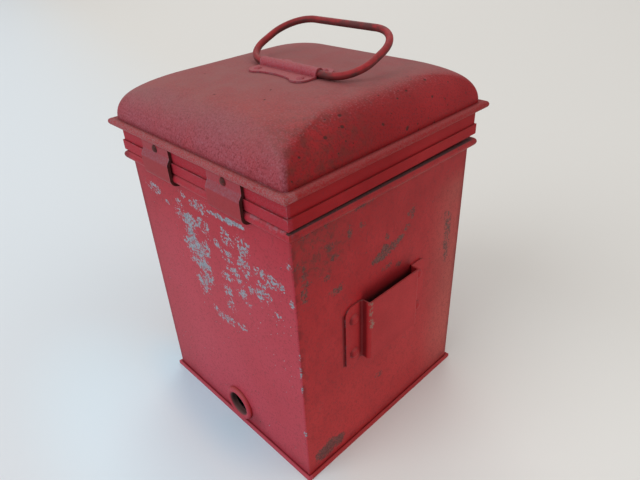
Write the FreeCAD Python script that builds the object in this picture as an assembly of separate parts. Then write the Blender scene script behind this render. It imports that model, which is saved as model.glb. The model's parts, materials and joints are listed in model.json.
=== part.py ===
import FreeCAD, Part
import math
import os

from FreeCAD import Vector

# Small sheet-iron magic lantern: a square lamphouse with a hinged domed lid, and its optics on the front.
# Millimetres. +Z is up, +Y is the hinge side, -Y the lens side, -X the side with the socket.
# The origin is the middle of the floor's underside.

# Box
body_width = 150.0
body_depth = 150.0
rim_height = 182.4
sheet = 1.0
wall_bend = 1.2
rivet_fit = 0.05

# Wired top rim
rim_wire_r = 1.9
rim_wire_fit = 0.05
rim_out = 0.6

# Base pan
base_out = 1.9
base_rim = 3.0
base_fit = 0.05

# Lid
lid_gap = 0.3
lid_tilt = 0.6
skirt_in = 0.6
skirt_height = 16.4
hem_height = 6.8
seam_height = 4.2
seam_out = 7.0
dome_out = 3.0
dome_rise = 23.5
dome_shoulder = 23.1
dome_corner = 3.0
dome_turn = 34.0
dome_roundness = 0.8
dome_cap = 22.0

# Hinge straps, which turn on the rim's rolled edge
strap_width = 28.8
strap_thickness = 1.8
strap_x = 33.0
strap_shift = 2.0
strap_fit = 0.1
strap_tail_angle = 105.0
strap_bend = 1.4
strap_clear = 0.4
strap_rise = 2.0
strap_step = 3.0
strap_rivet_drop = 4.0

# Handle
bail_wire_r = 2.1
bail_width = 91.0
bail_reach = 46.0
bail_low_bend = 18.0
bail_high_bend = 20.5
bail_lean = 68.0
bail_shift = -3.0
bail_joint = 0.4
saddle_fit = 0.1
saddle_seat = 0.1
saddle_length = 48.0
saddle_y = 2.0
saddle_lobe = 15.0
saddle_waist = 11.0
saddle_rivet_x = 18.5
saddle_rivet_y = 9.5

# Hat-shaped socket on the side wall
socket_width = 47.2
socket_flange = 14.0
socket_height = 43.5
socket_depth = 7.0
socket_y = 2.4
socket_z = 95.2
socket_bend = 1.6
socket_corner = 6.0
socket_rivet_spacing = 26.0
socket_rivet_drop = 1.6

# Eyelet in the rear wall
eyelet_x = -5.5
eyelet_z = 16.5
eyelet_bore_r = 8.4
eyelet_lip_r = 13.0
eyelet_lip = 2.8
eyelet_crimp_r = 11.4
eyelet_wall = 1.0

# Catch on the front
catch_drop = 5.0
catch_plate = 1.5
catch_clear = 0.5
catch_eye_r = 4.4
catch_pin_r = 1.6
catch_pin_fit = 0.08
catch_arm = 30.0
catch_arm_width = 8.0
catch_lip = 5.0
catch_stud_r = 1.8
catch_stud_fit = 0.6
catch_swing = 30.0
catch_head_r = 3.2
catch_head = 1.4
catch_side_play = 0.15

# Optical axis and condenser
optic_z = 92.0
cell_r = 28.0
cell_wall = 1.0
cell_depth = 35.0
cell_lip = 2.5
cell_flange_r = 34.0
cell_flange = 1.2
cell_rivet_r = 31.0
cell_fit = 0.1
condenser_edge = 3.0
condenser_sag = 6.5
condenser_gap = 3.0
condenser_ring = 2.0
spacer_wall = 1.0

# Slide stage
slide_height = 72.0
slide_gap = 8.0
stage_plate = 1.2
stage_width = 78.0
stage_foot = 14.0
stage_bend = 1.6
stage_rivet_x = 30.0
stage_spring_length = 50.0
stage_spring_width = 6.0
stage_spring_bow = 2.6
stage_spring_sheet = 0.5
stage_spring_z = 29.5
stage_spring_seat = 0.15

# Objective
jacket_r = 22.0
jacket_wall = 1.0
jacket_length = 32.6
jacket_flange_r = 29.0
jacket_flange = 1.2
jacket_rivet_r = 25.6
tube_fit = 0.08
tube_wall = 1.0
tube_length = 47.0
tube_start = 3.6
tube_rim_r = 23.4
tube_rim = 4.0
objective_edge = 2.5
objective_sag = 3.5
objective_fit = 0.1
objective_inset = 7.0
objective_ring = 1.5
objective_ring_width = 2.4

# Lamp
lamp_gap = 43.0
bracket_sheet = 1.2
bracket_height = 14.0
bracket_top = 44.0
bracket_foot = 14.0
bracket_depth = 36.0
bracket_bend = 2.0
holder_r = 18.0
holder_base_r = 21.0
holder_base = 6.0
holder_height = 31.4
holder_bore_depth = 22.0
cap_r = 13.4
cap_fit = 0.4
cap_height = 29.6
cap_cup = 2.0
contact_r = 4.0
contact_height = 1.6
bulb_r = 23.0
bulb_neck_r = 12.6
bulb_neck = 8.0
bulb_wall = 0.8
bulb_join_angle = -50.0
bulb_fit = 0.1
stem_r = 2.0
stem_height = 24.0
filament_r = 0.6
filament_span = 18.0

# Reflector
mirror_radius = 45.0
mirror_rim_r = 30.0
mirror_sheet = 0.8
strip_width = 12.0
strip_foot = 14.0
strip_above = 6.0
strip_bend = 2.5

# Rivets
rivet_r = 1.5
rivet_head_r = 2.4
rivet_dome = 0.54
wide_rivet_head_r = 3.8
rivet_tail_r = 2.4
rivet_tail = 0.8

# Worked-out places
half_x = body_width / 2
half_y = body_depth / 2
rim_channel_r = rim_wire_r + rim_wire_fit
bead_r = rim_channel_r + sheet
hinge_y = half_y + rim_out
hinge_z = rim_height
wall_top = rim_height - (bead_r + rim_channel_r) / 2
skirt_z = rim_height + bead_r + lid_gap
hem_top = skirt_z + hem_height
band_out = skirt_in + sheet
hem_out = band_out + sheet
seam_z = skirt_z + skirt_height
seam_top = seam_z + seam_height
crown_z = seam_top + dome_rise
saddle_bore = bail_wire_r + saddle_fit
saddle_z = crown_z + saddle_seat
bail_z = saddle_z + saddle_bore
catch_out = half_y + rim_out + bead_r + catch_clear
catch_z = seam_z - catch_drop
flange_y = -half_y - cell_flange
stage_y = flange_y - slide_gap
jacket_y = stage_y - stage_plate
tube_r = jacket_r - jacket_wall - tube_fit
tube_back_y = jacket_y - tube_start
tube_front_y = tube_back_y - tube_length
lens_r = cell_r - cell_wall - cell_fit
objective_r = tube_r - tube_wall - objective_fit
lamp_y = half_y - sheet - lamp_gap - bulb_r
strip_y = lamp_y + mirror_radius + mirror_sheet
strip_back_y = strip_y + bracket_sheet
holder_z = sheet + bracket_height
cap_z = holder_z + holder_height - holder_bore_depth + contact_height
cap_top = cap_z + cap_height
strap_face = half_y + band_out + strap_thickness

UP = Vector(0, 0, 1)
FRONT = Vector(0, -1, 0)
REAR = Vector(0, 1, 0)
SIDE = Vector(-1, 0, 0)
ACROSS = Vector(1, 0, 0)


def xz(a, b):
    return Vector(a, 0, b)


def yz(a, b):
    return Vector(0, a, b)


def xy(a, b):
    return Vector(a, b, 0)


# General shape helpers

def face(plane, start, *steps):
    """A closed face: each step is a point for a straight edge, or a pair of points for an arc."""
    edges = []
    here = plane(*start)
    for step in steps + (start,):
        if isinstance(step[0], tuple):
            middle, end = plane(*step[0]), plane(*step[1])
            edges.append(Part.Arc(here, middle, end).toShape())
        else:
            end = plane(*step)
            if (end - here).Length < 1e-9:
                continue
            edges.append(Part.makeLine(here, end))
        here = end
    return Part.Face(Part.Wire(edges))


def joined(shapes):
    return shapes[0].multiFuse(shapes[1:]).removeSplitter().Solids[0]


def drilled(shape, points, direction, radius, depth):
    """Round holes through the shape, each running the given depth both ways from its point."""
    drill = Part.makeCylinder(radius, 2 * depth, UP * -depth)
    drills = [placed(drill, point, direction) for point in points]
    return shape.cut(Part.makeCompound(drills)).Solids[0]


def placed(shape, point, direction):
    moved = shape.copy()
    moved.Placement = FreeCAD.Placement(point, FreeCAD.Rotation(UP, direction))
    return moved


def rounded_path(points, bends):
    """Straight runs through the points, with an arc of the given radius at each inner point."""
    edges = []
    here = points[0]
    for before, corner, after, bend in zip(points, points[1:], points[2:], bends):
        back = (before - corner).normalize()
        ahead = (after - corner).normalize()
        half = back.getAngle(ahead) / 2
        start = corner + back * (bend / math.tan(half))
        end = corner + ahead * (bend / math.tan(half))
        middle = corner + (back + ahead).normalize() * (bend / math.sin(half) - bend)
        edges.append(Part.makeLine(here, start))
        edges.append(Part.Arc(start, middle, end).toShape())
        here = end
    edges.append(Part.makeLine(here, points[-1]))
    return edges


def strip(edges, across, width, thickness):
    """Flat strip bent along a path, with its width in the across direction."""
    first = edges[0]
    start = first.valueAt(first.FirstParameter)
    normal = first.tangentAt(first.FirstParameter).cross(across)
    wide = across * (width / 2)
    thick = normal * (thickness / 2)
    corners = [start - wide - thick, start + wide - thick, start + wide + thick, start - wide + thick]
    section = Part.makePolygon(corners + corners[:1])
    return Part.Wire(edges).makePipeShell([section], True, False).Solids[0]


def rod(edges, radius):
    first = edges[0]
    start = first.valueAt(first.FirstParameter)
    section = Part.Wire(Part.makeCircle(radius, start, first.tangentAt(first.FirstParameter)))
    return Part.Wire(edges).makePipeShell([section], True, False).Solids[0]


def turned_optic(start, *steps):
    """Solid of revolution about the optical axis, from points of y and radius."""
    section = face(lambda y, r: Vector(0, y, optic_z + r), start, *steps)
    return section.revolve(Vector(0, 0, optic_z), REAR, 360)


def turned_lamp(start, *steps):
    """Solid of revolution about the lamp's upright axis, from points of radius and z."""
    section = face(lambda r, z: Vector(r, lamp_y, z), start, *steps)
    return section.revolve(Vector(0, lamp_y, 0), UP, 360)


def plan_wire(reach_x, reach_y, corner, z):
    """Rectangle with rounded corners at height z."""
    edges = []
    ends = []
    for quarter, (sx, sy) in enumerate(((1, 1), (-1, 1), (-1, -1), (1, -1))):
        centre = Vector(sx * (reach_x - corner), sy * (reach_y - corner), z)
        spokes = [math.radians(90 * quarter + turn) for turn in (0, 45, 90)]
        arc = [centre + Vector(math.cos(a), math.sin(a), 0) * corner for a in spokes]
        ends.append(arc)
    for arc, following in zip(ends, ends[1:] + ends[:1]):
        edges.append(Part.Arc(*arc).toShape())
        edges.append(Part.makeLine(arc[2], following[0]))
    return Part.Wire(edges)


def frame(section):
    """Carries a section, drawn outwards from the wall's face, once round the box with mitred corners."""
    spare = 2 * seam_out
    pieces = []
    for quarter in range(4):
        reach, run = (half_x, half_y) if quarter % 2 == 0 else (half_y, half_x)
        begin = section.translated(Vector(reach, -run - spare, 0))
        side = begin.extrude(REAR * (2 * (run + spare)))
        inner, outer = (reach - spare, run - spare), (reach + spare, run + spare)
        plan = face(xy, (inner[0], -inner[1]), (outer[0], -outer[1]), outer, inner)
        piece = side.common(plan.extrude(UP * crown_z))
        piece.rotate(Vector(), UP, 90 * quarter)
        pieces.append(piece)
    return joined(pieces)


def rivet(grip, head_r, tail):
    """Domed rivet along +Z: its head stands on z = 0 and its shank fills the grip below."""
    head = rivet_dome * head_r
    dome = ((0.6 * head_r, 0.8 * head), (head_r, 0.0))
    steps = [dome, (rivet_r, 0.0), (rivet_r, -grip)]
    if tail:
        steps += [(rivet_tail_r, -grip), (rivet_tail_r, -grip - rivet_tail), (0.0, -grip - rivet_tail)]
    else:
        steps += [(0.0, -grip)]
    return face(xz, (0.0, head), *steps).revolve(Vector(), UP, 360)


def rivets(points, direction, grip, head_r=rivet_head_r, tail=True):
    return Part.makeCompound([placed(rivet(grip, head_r, tail), point, direction) for point in points])


def riveted(shape, points, direction):
    return drilled(shape, points, direction, rivet_r + rivet_fit, 6 * sheet)


# Rivet places, each on the face that its head stands on

def socket_points():
    x = -half_x - sheet
    y = (socket_width + socket_flange) / 2
    z = socket_z - socket_rivet_drop
    rise = socket_rivet_spacing / 2
    return [Vector(x, socket_y + sy * y, z + sz * rise) for sy in (-1, 1) for sz in (-1, 1)]


def cell_points():
    reach = cell_rivet_r * math.sqrt(0.5)
    return [Vector(sx * reach, sheet - half_y, optic_z + sz * reach) for sx in (-1, 1) for sz in (-1, 1)]


def stage_points():
    y = -half_y - stage_plate
    rise = slide_height / 2 + stage_plate + stage_foot / 2
    return [Vector(sx * stage_rivet_x, y, optic_z + sz * rise) for sx in (-1, 1) for sz in (-1, 1)]


def jacket_points():
    turns = [math.radians(90 + 120 * n) for n in range(3)]
    y = jacket_y - jacket_flange
    return [Vector(jacket_rivet_r * math.cos(a), y, optic_z + jacket_rivet_r * math.sin(a)) for a in turns]


def strap_places():
    return [strap_shift - strap_x, strap_shift + strap_x]


def hinge_points():
    z = strap_top_z() - strap_rivet_drop
    return [Vector(x, strap_face, z) for x in strap_places()]


def saddle_points():
    z = saddle_z + sheet
    ys = [saddle_y + sy * saddle_rivet_y for sy in (-1, 1)]
    return [Vector(sx * saddle_rivet_x, y, z) for sx in (-1, 1) for y in ys]


def bracket_points():
    x = bracket_top / 2 + bracket_foot / 2
    return [Vector(sx * x, lamp_y, sheet + bracket_sheet) for sx in (-1, 1)]


def strip_foot_points():
    return [Vector(0, strip_y + strip_foot / 2, sheet + bracket_sheet)]


# Box

def walls():
    box = frame(face(xz, (-sheet, sheet), (0.0, sheet), (0.0, wall_top), (-sheet, wall_top)))
    return box.makeFillet(wall_bend, [edge for edge in box.Edges if wall_corner(edge)])


def wall_corner(edge):
    """True for the upright outer edges at the box's four corners."""
    middle = edge.CenterOfMass
    return abs(abs(middle.x) - half_x) < sheet / 10 and abs(abs(middle.y) - half_y) < sheet / 10


def body_shell():
    shell = walls()
    for x in strap_places():
        shell = shell.cut(strap_window(x)).Solids[0]
    shell = drilled(shell, [Vector(0, -half_y, optic_z)], FRONT, cell_r + cell_fit, 3 * sheet)
    eyelet = Vector(eyelet_x, half_y, eyelet_z)
    shell = drilled(shell, [eyelet], REAR, eyelet_bore_r + eyelet_wall + rivet_fit, 3 * sheet)
    shell = drilled(shell, [catch_stud_place()], FRONT, catch_stud_r + rivet_fit, 3 * sheet)
    shell = riveted(shell, socket_points(), SIDE)
    shell = riveted(shell, cell_points(), FRONT)
    return riveted(shell, stage_points(), FRONT)


def rim_ring(outer, inner):
    """Section of the rolled edge, about the rim wire's centre."""
    centre = xz(rim_out, rim_height)
    circles = [Part.Wire(Part.makeCircle(radius, centre, REAR)) for radius in (outer, inner)]
    return Part.Face(circles[0]).cut(Part.Face(circles[1])).Faces[0]


def rim_bead():
    """Rolled edge round the rim wire, seated on the walls."""
    return frame(rim_ring(bead_r, rim_channel_r)).cut(walls()).Solids[0]


def strap_window(x):
    """Slot in the wall under the rolled edge, where a strap's tail turns inwards."""
    width = strap_width + 2 * strap_clear
    depth = bead_r + strap_fit + strap_thickness + strap_clear
    block = Part.makeBox(width, 2 * depth, depth, Vector(x - width / 2, hinge_y - depth, hinge_z - depth))
    pin = Part.makeCylinder(bead_r, 2 * width, Vector(x - width, hinge_y, hinge_z), ACROSS)
    return block.cut(pin)


def rim_wire():
    circle = Part.makeCircle(rim_wire_r, xz(rim_out, rim_height), REAR)
    return frame(Part.Face(Part.Wire(circle)))


def base_pan():
    reach_x, reach_y = half_x + base_out, half_y + base_out
    floor = Part.makeBox(2 * reach_x, 2 * reach_y, sheet, Vector(-reach_x, -reach_y, 0))
    nose = (base_out - base_fit) / 2
    over = (base_fit + nose, base_rim)
    outer = (base_out, base_rim - nose)
    rim = frame(face(xz, (base_fit, 0.0), (base_out, 0.0), outer, (over, (base_fit, outer[1]))))
    pan = joined([floor, rim])
    pan = riveted(pan, bracket_points(), UP)
    return riveted(pan, strip_foot_points(), UP)


def side_socket():
    """Hat section, open at top and bottom, with the upper corners of its flanges rounded."""
    wall = -half_x - sheet / 2
    plate = -half_x - socket_depth + sheet / 2
    step = (socket_width - sheet) / 2
    end = socket_width / 2 + socket_flange
    corners = [xy(wall, -end), xy(wall, -step), xy(plate, -step)]
    corners += [xy(plate, step), xy(wall, step), xy(wall, end)]
    path = rounded_path(corners, [socket_bend] * 4)
    hat = strip(path, UP, socket_height, sheet)
    hat = hat.makeFillet(socket_corner, [edge for edge in hat.Edges if flange_corner(edge, end)])
    return riveted(hat.translated(Vector(0, socket_y, socket_z)), socket_points(), SIDE)


def flange_corner(edge, end):
    """True for the short edges through the sheet at the two upper corners of the flanges."""
    middle = edge.CenterOfMass
    at_end = abs(abs(middle.y) - end) < sheet / 10
    return at_end and abs(middle.z - socket_height / 2) < sheet / 10


def inlet_eyelet():
    bore, tube = eyelet_bore_r, eyelet_bore_r + eyelet_wall
    inside = -sheet - eyelet_wall
    lip_top = (eyelet_lip_r + tube) / 2
    outer_bulge = (eyelet_lip_r - 0.3 * (eyelet_lip_r - lip_top), 0.75 * eyelet_lip)
    inner_bulge = (bore + 0.3 * (lip_top - bore), 0.75 * eyelet_lip)
    section = face(
        xz,
        (bore, inside), (eyelet_crimp_r, inside), (eyelet_crimp_r, -sheet), (tube, -sheet), (tube, 0.0),
        (eyelet_lip_r, 0.0), (outer_bulge, (lip_top, eyelet_lip)), (inner_bulge, (bore, 0.0)),
    )
    eyelet = section.revolve(Vector(), UP, 360)
    return placed(eyelet, Vector(eyelet_x, half_y, eyelet_z), REAR)


# Lid, drawn closed and level

def lid_skirt():
    nose = (seam_out, seam_z + 0.4 * seam_height)
    under = (seam_out - 0.5 * seam_height, seam_z)
    over = (seam_out - 0.8 * seam_height, seam_top)
    section = face(
        xz,
        (skirt_in, skirt_z + sheet), ((band_out, skirt_z), (hem_out, skirt_z + sheet)),
        (hem_out, hem_top), (band_out, hem_top), (band_out, seam_z), under, (nose, over),
        (skirt_in, seam_top),
    )
    skirt = riveted(frame(section), hinge_points(), REAR)
    return drilled(skirt, [catch_pivot_place()], FRONT, catch_pin_r + rivet_fit, 3 * sheet)


def dome_span():
    return min(half_x, half_y) + dome_out


def roof_radius():
    """Radius of the roof's arc, which runs into the shoulder's arc without a kink."""
    arm = dome_span() - dome_shoulder
    return (arm ** 2 + dome_rise ** 2 - dome_shoulder ** 2) / (2 * (dome_rise - dome_shoulder))


def roof_sink(reach):
    """How far the roof has fallen below the crown at a distance from the middle."""
    return roof_radius() - math.sqrt(roof_radius() ** 2 - reach ** 2)


def dome_profile(inset):
    """Steps of distance in from the foot, and height, along the shoulder and the roof."""
    span = dome_span()
    arm = span - dome_shoulder
    roof = roof_radius()
    lean = math.atan2(arm, roof - dome_rise)
    steps = []
    for part in (0, 0.2, 0.4, 0.6, 0.8, 1.0):
        angle = part * (math.pi / 2 - lean)
        reach = arm + (dome_shoulder - inset) * math.cos(angle)
        steps.append((span - reach, seam_top + (dome_shoulder - inset) * math.sin(angle)))
    edge = roof * math.sin(lean)
    for part in (0.72, 0.46, 0.22, 0.0):
        reach = dome_cap + part * (edge - dome_cap)
        steps.append((span - reach, crown_z - roof_sink(reach) - inset))
    return steps


def dome_solid(inset):
    """Vaulted block, square at the foot and round where the shoulder meets the roof."""
    wires = []
    for distance, z in dome_profile(inset):
        reach_x = half_x + dome_out - distance
        reach_y = half_y + dome_out - distance
        least = min(reach_x, reach_y)
        turn = min(1.0, distance / dome_turn)
        growth = turn ** 2 * (3 - 2 * turn)
        corner = dome_corner + (dome_roundness * least - dome_corner) * growth
        wires.append(plan_wire(reach_x, reach_y, corner, z))
    return Part.makeLoft(wires, True, False)


def lid_dome():
    dome = dome_solid(0.0).cut(dome_solid(sheet)).Solids[0]
    return riveted(dome, saddle_points(), UP)


def strap_top_z():
    return seam_z - strap_clear


def hinge_strap(x):
    """Strip that lies on the lid's band, steps out over the hem and curls round the rolled edge."""
    curl = bead_r + strap_fit + strap_thickness / 2
    band = strap_face - strap_thickness / 2
    on_band = yz(band, hem_top + strap_rise)
    over_hem = yz(hinge_y + curl, on_band.z - strap_step)
    centre = yz(hinge_y, hinge_z)
    tail = -math.radians(strap_tail_angle)
    arc = [centre + yz(math.cos(a), math.sin(a)) * curl for a in (tail, tail / 2, 0.0)]
    edges = [Part.Arc(*arc).toShape()]
    edges += rounded_path([arc[2], over_hem, on_band, yz(band, strap_top_z())], [strap_bend] * 2)
    strap = strip(edges, ACROSS, strap_width, strap_thickness)
    strap.translate(ACROSS * x)
    return riveted(strap, [point for point in hinge_points() if point.x == x], REAR)


def handle_saddle():
    """Strip folded over the bail's wire, with a scalloped flange riveted down on either side."""
    half = saddle_length / 2
    bore, outer = saddle_bore, saddle_bore + sheet
    fold = face(
        yz,
        (outer, 0.0), (outer, bore), ((0.0, bore + outer), (-outer, bore)), (-outer, 0.0),
        (-bore, 0.0), (-bore, bore), ((0.0, 2 * bore), (bore, bore)), (bore, 0.0),
    )
    fold = fold.translated(ACROSS * -half).extrude(ACROSS * saddle_length)
    near = saddle_flange()
    far = near.copy()
    far.rotate(Vector(), UP, 180)
    saddle = joined([fold, near, far]).translated(Vector(0, saddle_y, saddle_z))
    return riveted(saddle, saddle_points(), UP)


def saddle_flange():
    half = saddle_length / 2
    inner = saddle_rivet_x - (half - saddle_rivet_x)
    notch = (saddle_lobe + saddle_waist) / 2
    left = ((-saddle_rivet_x, saddle_lobe), (-inner, notch))
    waist = ((0.0, saddle_waist), (inner, notch))
    right = ((saddle_rivet_x, saddle_lobe), (half, saddle_rivet_y))
    plan = face(xy, (-half, saddle_bore), (-half, saddle_rivet_y), left, waist, right, (half, saddle_bore))
    return plan.extrude(UP * sheet)


def saddle_grip():
    reach = math.hypot(saddle_rivet_x, saddle_y + saddle_rivet_y) + rivet_tail_r
    return 2 * sheet + saddle_seat + roof_sink(reach) + rivet_fit


def handle_bail():
    """Wire loop whose two ends meet inside the saddle's tube."""
    side = bail_width / 2
    end = bail_joint / 2
    lean = math.radians(bail_lean)

    def leaned(x, reach):
        return Vector(x + bail_shift, saddle_y - reach * math.sin(lean), bail_z + reach * math.cos(lean))

    corners = [leaned(end, 0), leaned(side, 0), leaned(side, bail_reach)]
    corners += [leaned(-side, bail_reach), leaned(-side, 0), leaned(-end, 0)]
    bends = [bail_low_bend, bail_high_bend, bail_high_bend, bail_low_bend]
    return rod(rounded_path(corners, bends), bail_wire_r)


# Catch

def catch_pivot_place():
    return Vector(0, -half_y - band_out, catch_z)


def catch_stud_place():
    """Point of the front wall that the hook's notch reaches when it is swung over."""
    pivot = tilted_point(catch_pivot_place())
    swing = math.radians(catch_swing)
    return Vector(pivot.x - catch_arm * math.sin(swing), -half_y, pivot.z - catch_arm * math.cos(swing))


def headed_pin(radius, length, inside):
    """Pin along +Z from a wall at z = 0, headed at its outer end and clenched on the inside."""
    head_z = length + catch_head
    section = face(
        xz,
        (0.0, head_z), (catch_head_r, head_z), (catch_head_r, length), (radius, length), (radius, -inside),
        (catch_head_r, -inside), (catch_head_r, -inside - rivet_tail), (0.0, -inside - rivet_tail),
    )
    return section.revolve(Vector(), UP, 360)


def catch_reach():
    """Outer face of the hook, measured from the front wall."""
    return catch_out - half_y + catch_plate + catch_side_play


def catch_stud():
    """Stud on the wall, longer by as much as the tilted lid swings the hook outwards."""
    tip_out = catch_arm * math.sin(math.radians(lid_tilt))
    return placed(headed_pin(catch_stud_r, catch_reach() + tip_out, sheet), catch_stud_place(), FRONT)


def catch_pivot():
    length = catch_reach() - band_out
    collar = Part.makeCylinder(catch_pin_r + sheet, catch_out - half_y - band_out - catch_side_play)
    pin = joined([headed_pin(catch_pin_r, length, sheet), collar])
    return placed(pin, catch_pivot_place(), FRONT)


def catch_hook():
    """Hanging hook with an eye at the lid's pin and a notch for the stud."""
    half = catch_arm_width / 2
    tip = -catch_arm - catch_lip
    arm = face(xz, (-half, 0.0), (-half, tip), ((0.0, tip - half), (half, tip)), (half, 0.0))
    eye = Part.Face(Part.Wire(Part.makeCircle(catch_eye_r, Vector(), FRONT)))
    plate = joined([flat.extrude(FRONT * catch_plate) for flat in (arm, eye)])
    notch_r = catch_stud_r + catch_stud_fit
    corner = Vector(-2 * half, -2 * catch_plate, -catch_arm - notch_r)
    slot = Part.makeBox(2 * half, 4 * catch_plate, 2 * notch_r, corner)
    plate = plate.cut(slot)
    plate = drilled(plate, [Vector(0, 0, -catch_arm)], FRONT, notch_r, 2 * catch_plate)
    plate = drilled(plate, [Vector()], FRONT, catch_pin_r + catch_pin_fit, 2 * catch_plate)
    return plate.translated(Vector(0, -catch_out, catch_z))


# Condenser

def condenser_cell():
    back = cell_depth - half_y
    lip = back - cell_wall
    inner = cell_r - cell_wall
    cell = turned_optic(
        (flange_y, inner), (flange_y, cell_flange_r), (-half_y, cell_flange_r), (-half_y, cell_r),
        (back, cell_r), (back, inner - cell_lip), (lip, inner - cell_lip), (lip, inner),
    )
    return riveted(cell, cell_points(), FRONT)


def condenser_places():
    """Faces of the lens stack from the cell's rear lip forwards."""
    rear = cell_depth - half_y - cell_wall
    spacer = rear - condenser_edge
    front = spacer - 2 * condenser_sag - condenser_gap
    ring = front - condenser_edge
    return rear, spacer, front, ring


def lens_rise(radius, sag, at):
    """Height of a lens's curved face above its edge, at a distance from the axis."""
    curve = (radius ** 2 + sag ** 2) / (2 * sag)
    return math.sqrt(curve ** 2 - at ** 2) - curve + sag


def condenser_lens(flat_y, towards):
    """Plano-convex lens from its flat face, bulging towards +Y or -Y."""
    edge = flat_y + towards * condenser_edge
    top = edge + towards * condenser_sag
    middle = (edge + towards * lens_rise(lens_r, condenser_sag, lens_r / 2), lens_r / 2)
    return turned_optic((flat_y, 0.0), (flat_y, lens_r), (edge, lens_r), (middle, (top, 0.0)))


def condenser_spacer():
    """Tube between the two lenses, seated by its inner edges on their curved faces."""
    rear, start, end, ring = condenser_places()
    inner = lens_r - spacer_wall
    seat = lens_rise(lens_r, condenser_sag, inner)
    start -= seat
    end += seat
    return turned_optic((start, inner), (start, lens_r), (end, lens_r), (end, inner))


def condenser_retainer():
    start = condenser_places()[3]
    end = start - condenser_ring
    inner = lens_r - condenser_ring
    return turned_optic((start, inner), (start, lens_r), (end, lens_r), (end, inner))


# Slide stage

def slide_stage():
    """Sheet folded forwards off the front wall, open at both sides for the slide."""
    wall = -half_y - stage_plate / 2
    plate = stage_y - stage_plate / 2
    step = (slide_height + stage_plate) / 2
    end = slide_height / 2 + stage_plate + stage_foot
    corners = [yz(wall, end), yz(wall, step), yz(plate, step)]
    corners += [yz(plate, -step), yz(wall, -step), yz(wall, -end)]
    stage = strip(rounded_path(corners, [stage_bend] * 4), ACROSS, stage_width, stage_plate)
    stage.translate(UP * optic_z)
    aperture = [Vector(0, stage_y, optic_z)]
    stage = drilled(stage, aperture, FRONT, jacket_r - jacket_wall, 3 * stage_plate)
    stage = riveted(stage, jacket_points(), FRONT)
    return riveted(stage, stage_points(), FRONT)


def stage_springs():
    half = stage_spring_length / 2
    seat = stage_y + stage_spring_sheet / 2 + stage_spring_seat
    arc = Part.Arc(xy(-half, seat), xy(0, seat + stage_spring_bow), xy(half, seat)).toShape()
    leaf = strip([arc], UP, stage_spring_width, stage_spring_sheet)
    return Part.makeCompound([leaf.translated(UP * (optic_z + sz * stage_spring_z)) for sz in (-1, 1)])


# Objective

def objective_jacket():
    inner = jacket_r - jacket_wall
    front = jacket_y - jacket_length
    under = jacket_y - jacket_flange
    jacket = turned_optic(
        (jacket_y, inner), (jacket_y, jacket_flange_r), (under, jacket_flange_r), (under, jacket_r),
        (front, jacket_r), (front, inner),
    )
    return riveted(jacket, jacket_points(), FRONT)


def objective_tube():
    """Draw tube with a rolled rim to pull it by."""
    bore = tube_r - tube_wall
    rim = tube_front_y + tube_rim
    nose = tube_front_y + tube_rim / 2
    return turned_optic(
        (tube_back_y, bore), (tube_back_y, tube_r), (rim, tube_r),
        ((nose, tube_rim_r), (tube_front_y, tube_r)), (tube_front_y, bore),
    )


def objective_lens(edge_y):
    """Biconvex lens whose cylindrical edge starts at edge_y and runs forwards."""
    half = objective_r / 2
    rise = lens_rise(objective_r, objective_sag, half)
    front = edge_y - objective_edge
    return turned_optic(
        (edge_y + objective_sag, 0.0), ((edge_y + rise, half), (edge_y, objective_r)),
        (front, objective_r), ((front - rise, half), (front - objective_sag, 0.0)),
    )


def objective_edges():
    """Where the edges of the rear and front lenses start."""
    rear = tube_back_y - objective_inset
    front = tube_front_y + objective_inset + objective_edge
    return rear, front


def objective_rings():
    """Split rings that hold each lens from both sides."""
    inner = objective_r - objective_ring_width
    seat = lens_rise(objective_r, objective_sag, inner)
    rings = []
    for edge_y in objective_edges():
        for start in (edge_y + seat + objective_ring, edge_y - objective_edge - seat):
            end = start - objective_ring
            ring = turned_optic((start, inner), (start, objective_r), (end, objective_r), (end, inner))
            rings.append(ring)
    return Part.makeCompound(rings)


# Lamp

def lamp_bracket():
    low = sheet + bracket_sheet / 2
    high = holder_z - bracket_sheet / 2
    step = (bracket_top - bracket_sheet) / 2
    end = bracket_top / 2 + bracket_foot
    corners = [xz(-end, low), xz(-step, low), xz(-step, high), xz(step, high), xz(step, low), xz(end, low)]
    bridge = strip(rounded_path(corners, [bracket_bend] * 4), REAR, bracket_depth, bracket_sheet)
    bridge.translate(REAR * lamp_y)
    return riveted(bridge, bracket_points(), UP)


def lamp_holder():
    """Porcelain holder with a stepped foot and a bore for the bulb's cap."""
    top = holder_z + holder_height
    floor = top - holder_bore_depth
    foot = holder_z + holder_base
    bore = cap_r + cap_fit
    hollow = (holder_base_r - 0.8 * (holder_base_r - holder_r), foot + 0.2 * holder_base)
    shoulder = (hollow, (holder_r, foot + holder_base))
    return turned_lamp(
        (0.0, holder_z), (holder_base_r, holder_z), (holder_base_r, foot), shoulder,
        (holder_r, top), (bore, top), (bore, floor), (0.0, floor),
    )


def bulb_cap():
    """Brass cap with a centre contact below and a cup for the glass above."""
    cup = bulb_neck_r + bulb_fit
    low = cap_z - contact_height
    return turned_lamp(
        (0.0, low), (contact_r, low), (contact_r, cap_z), (cap_r, cap_z), (cap_r, cap_top),
        (cup, cap_top), (cup, cap_top - cap_cup), (0.0, cap_top - cap_cup),
    )


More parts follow.
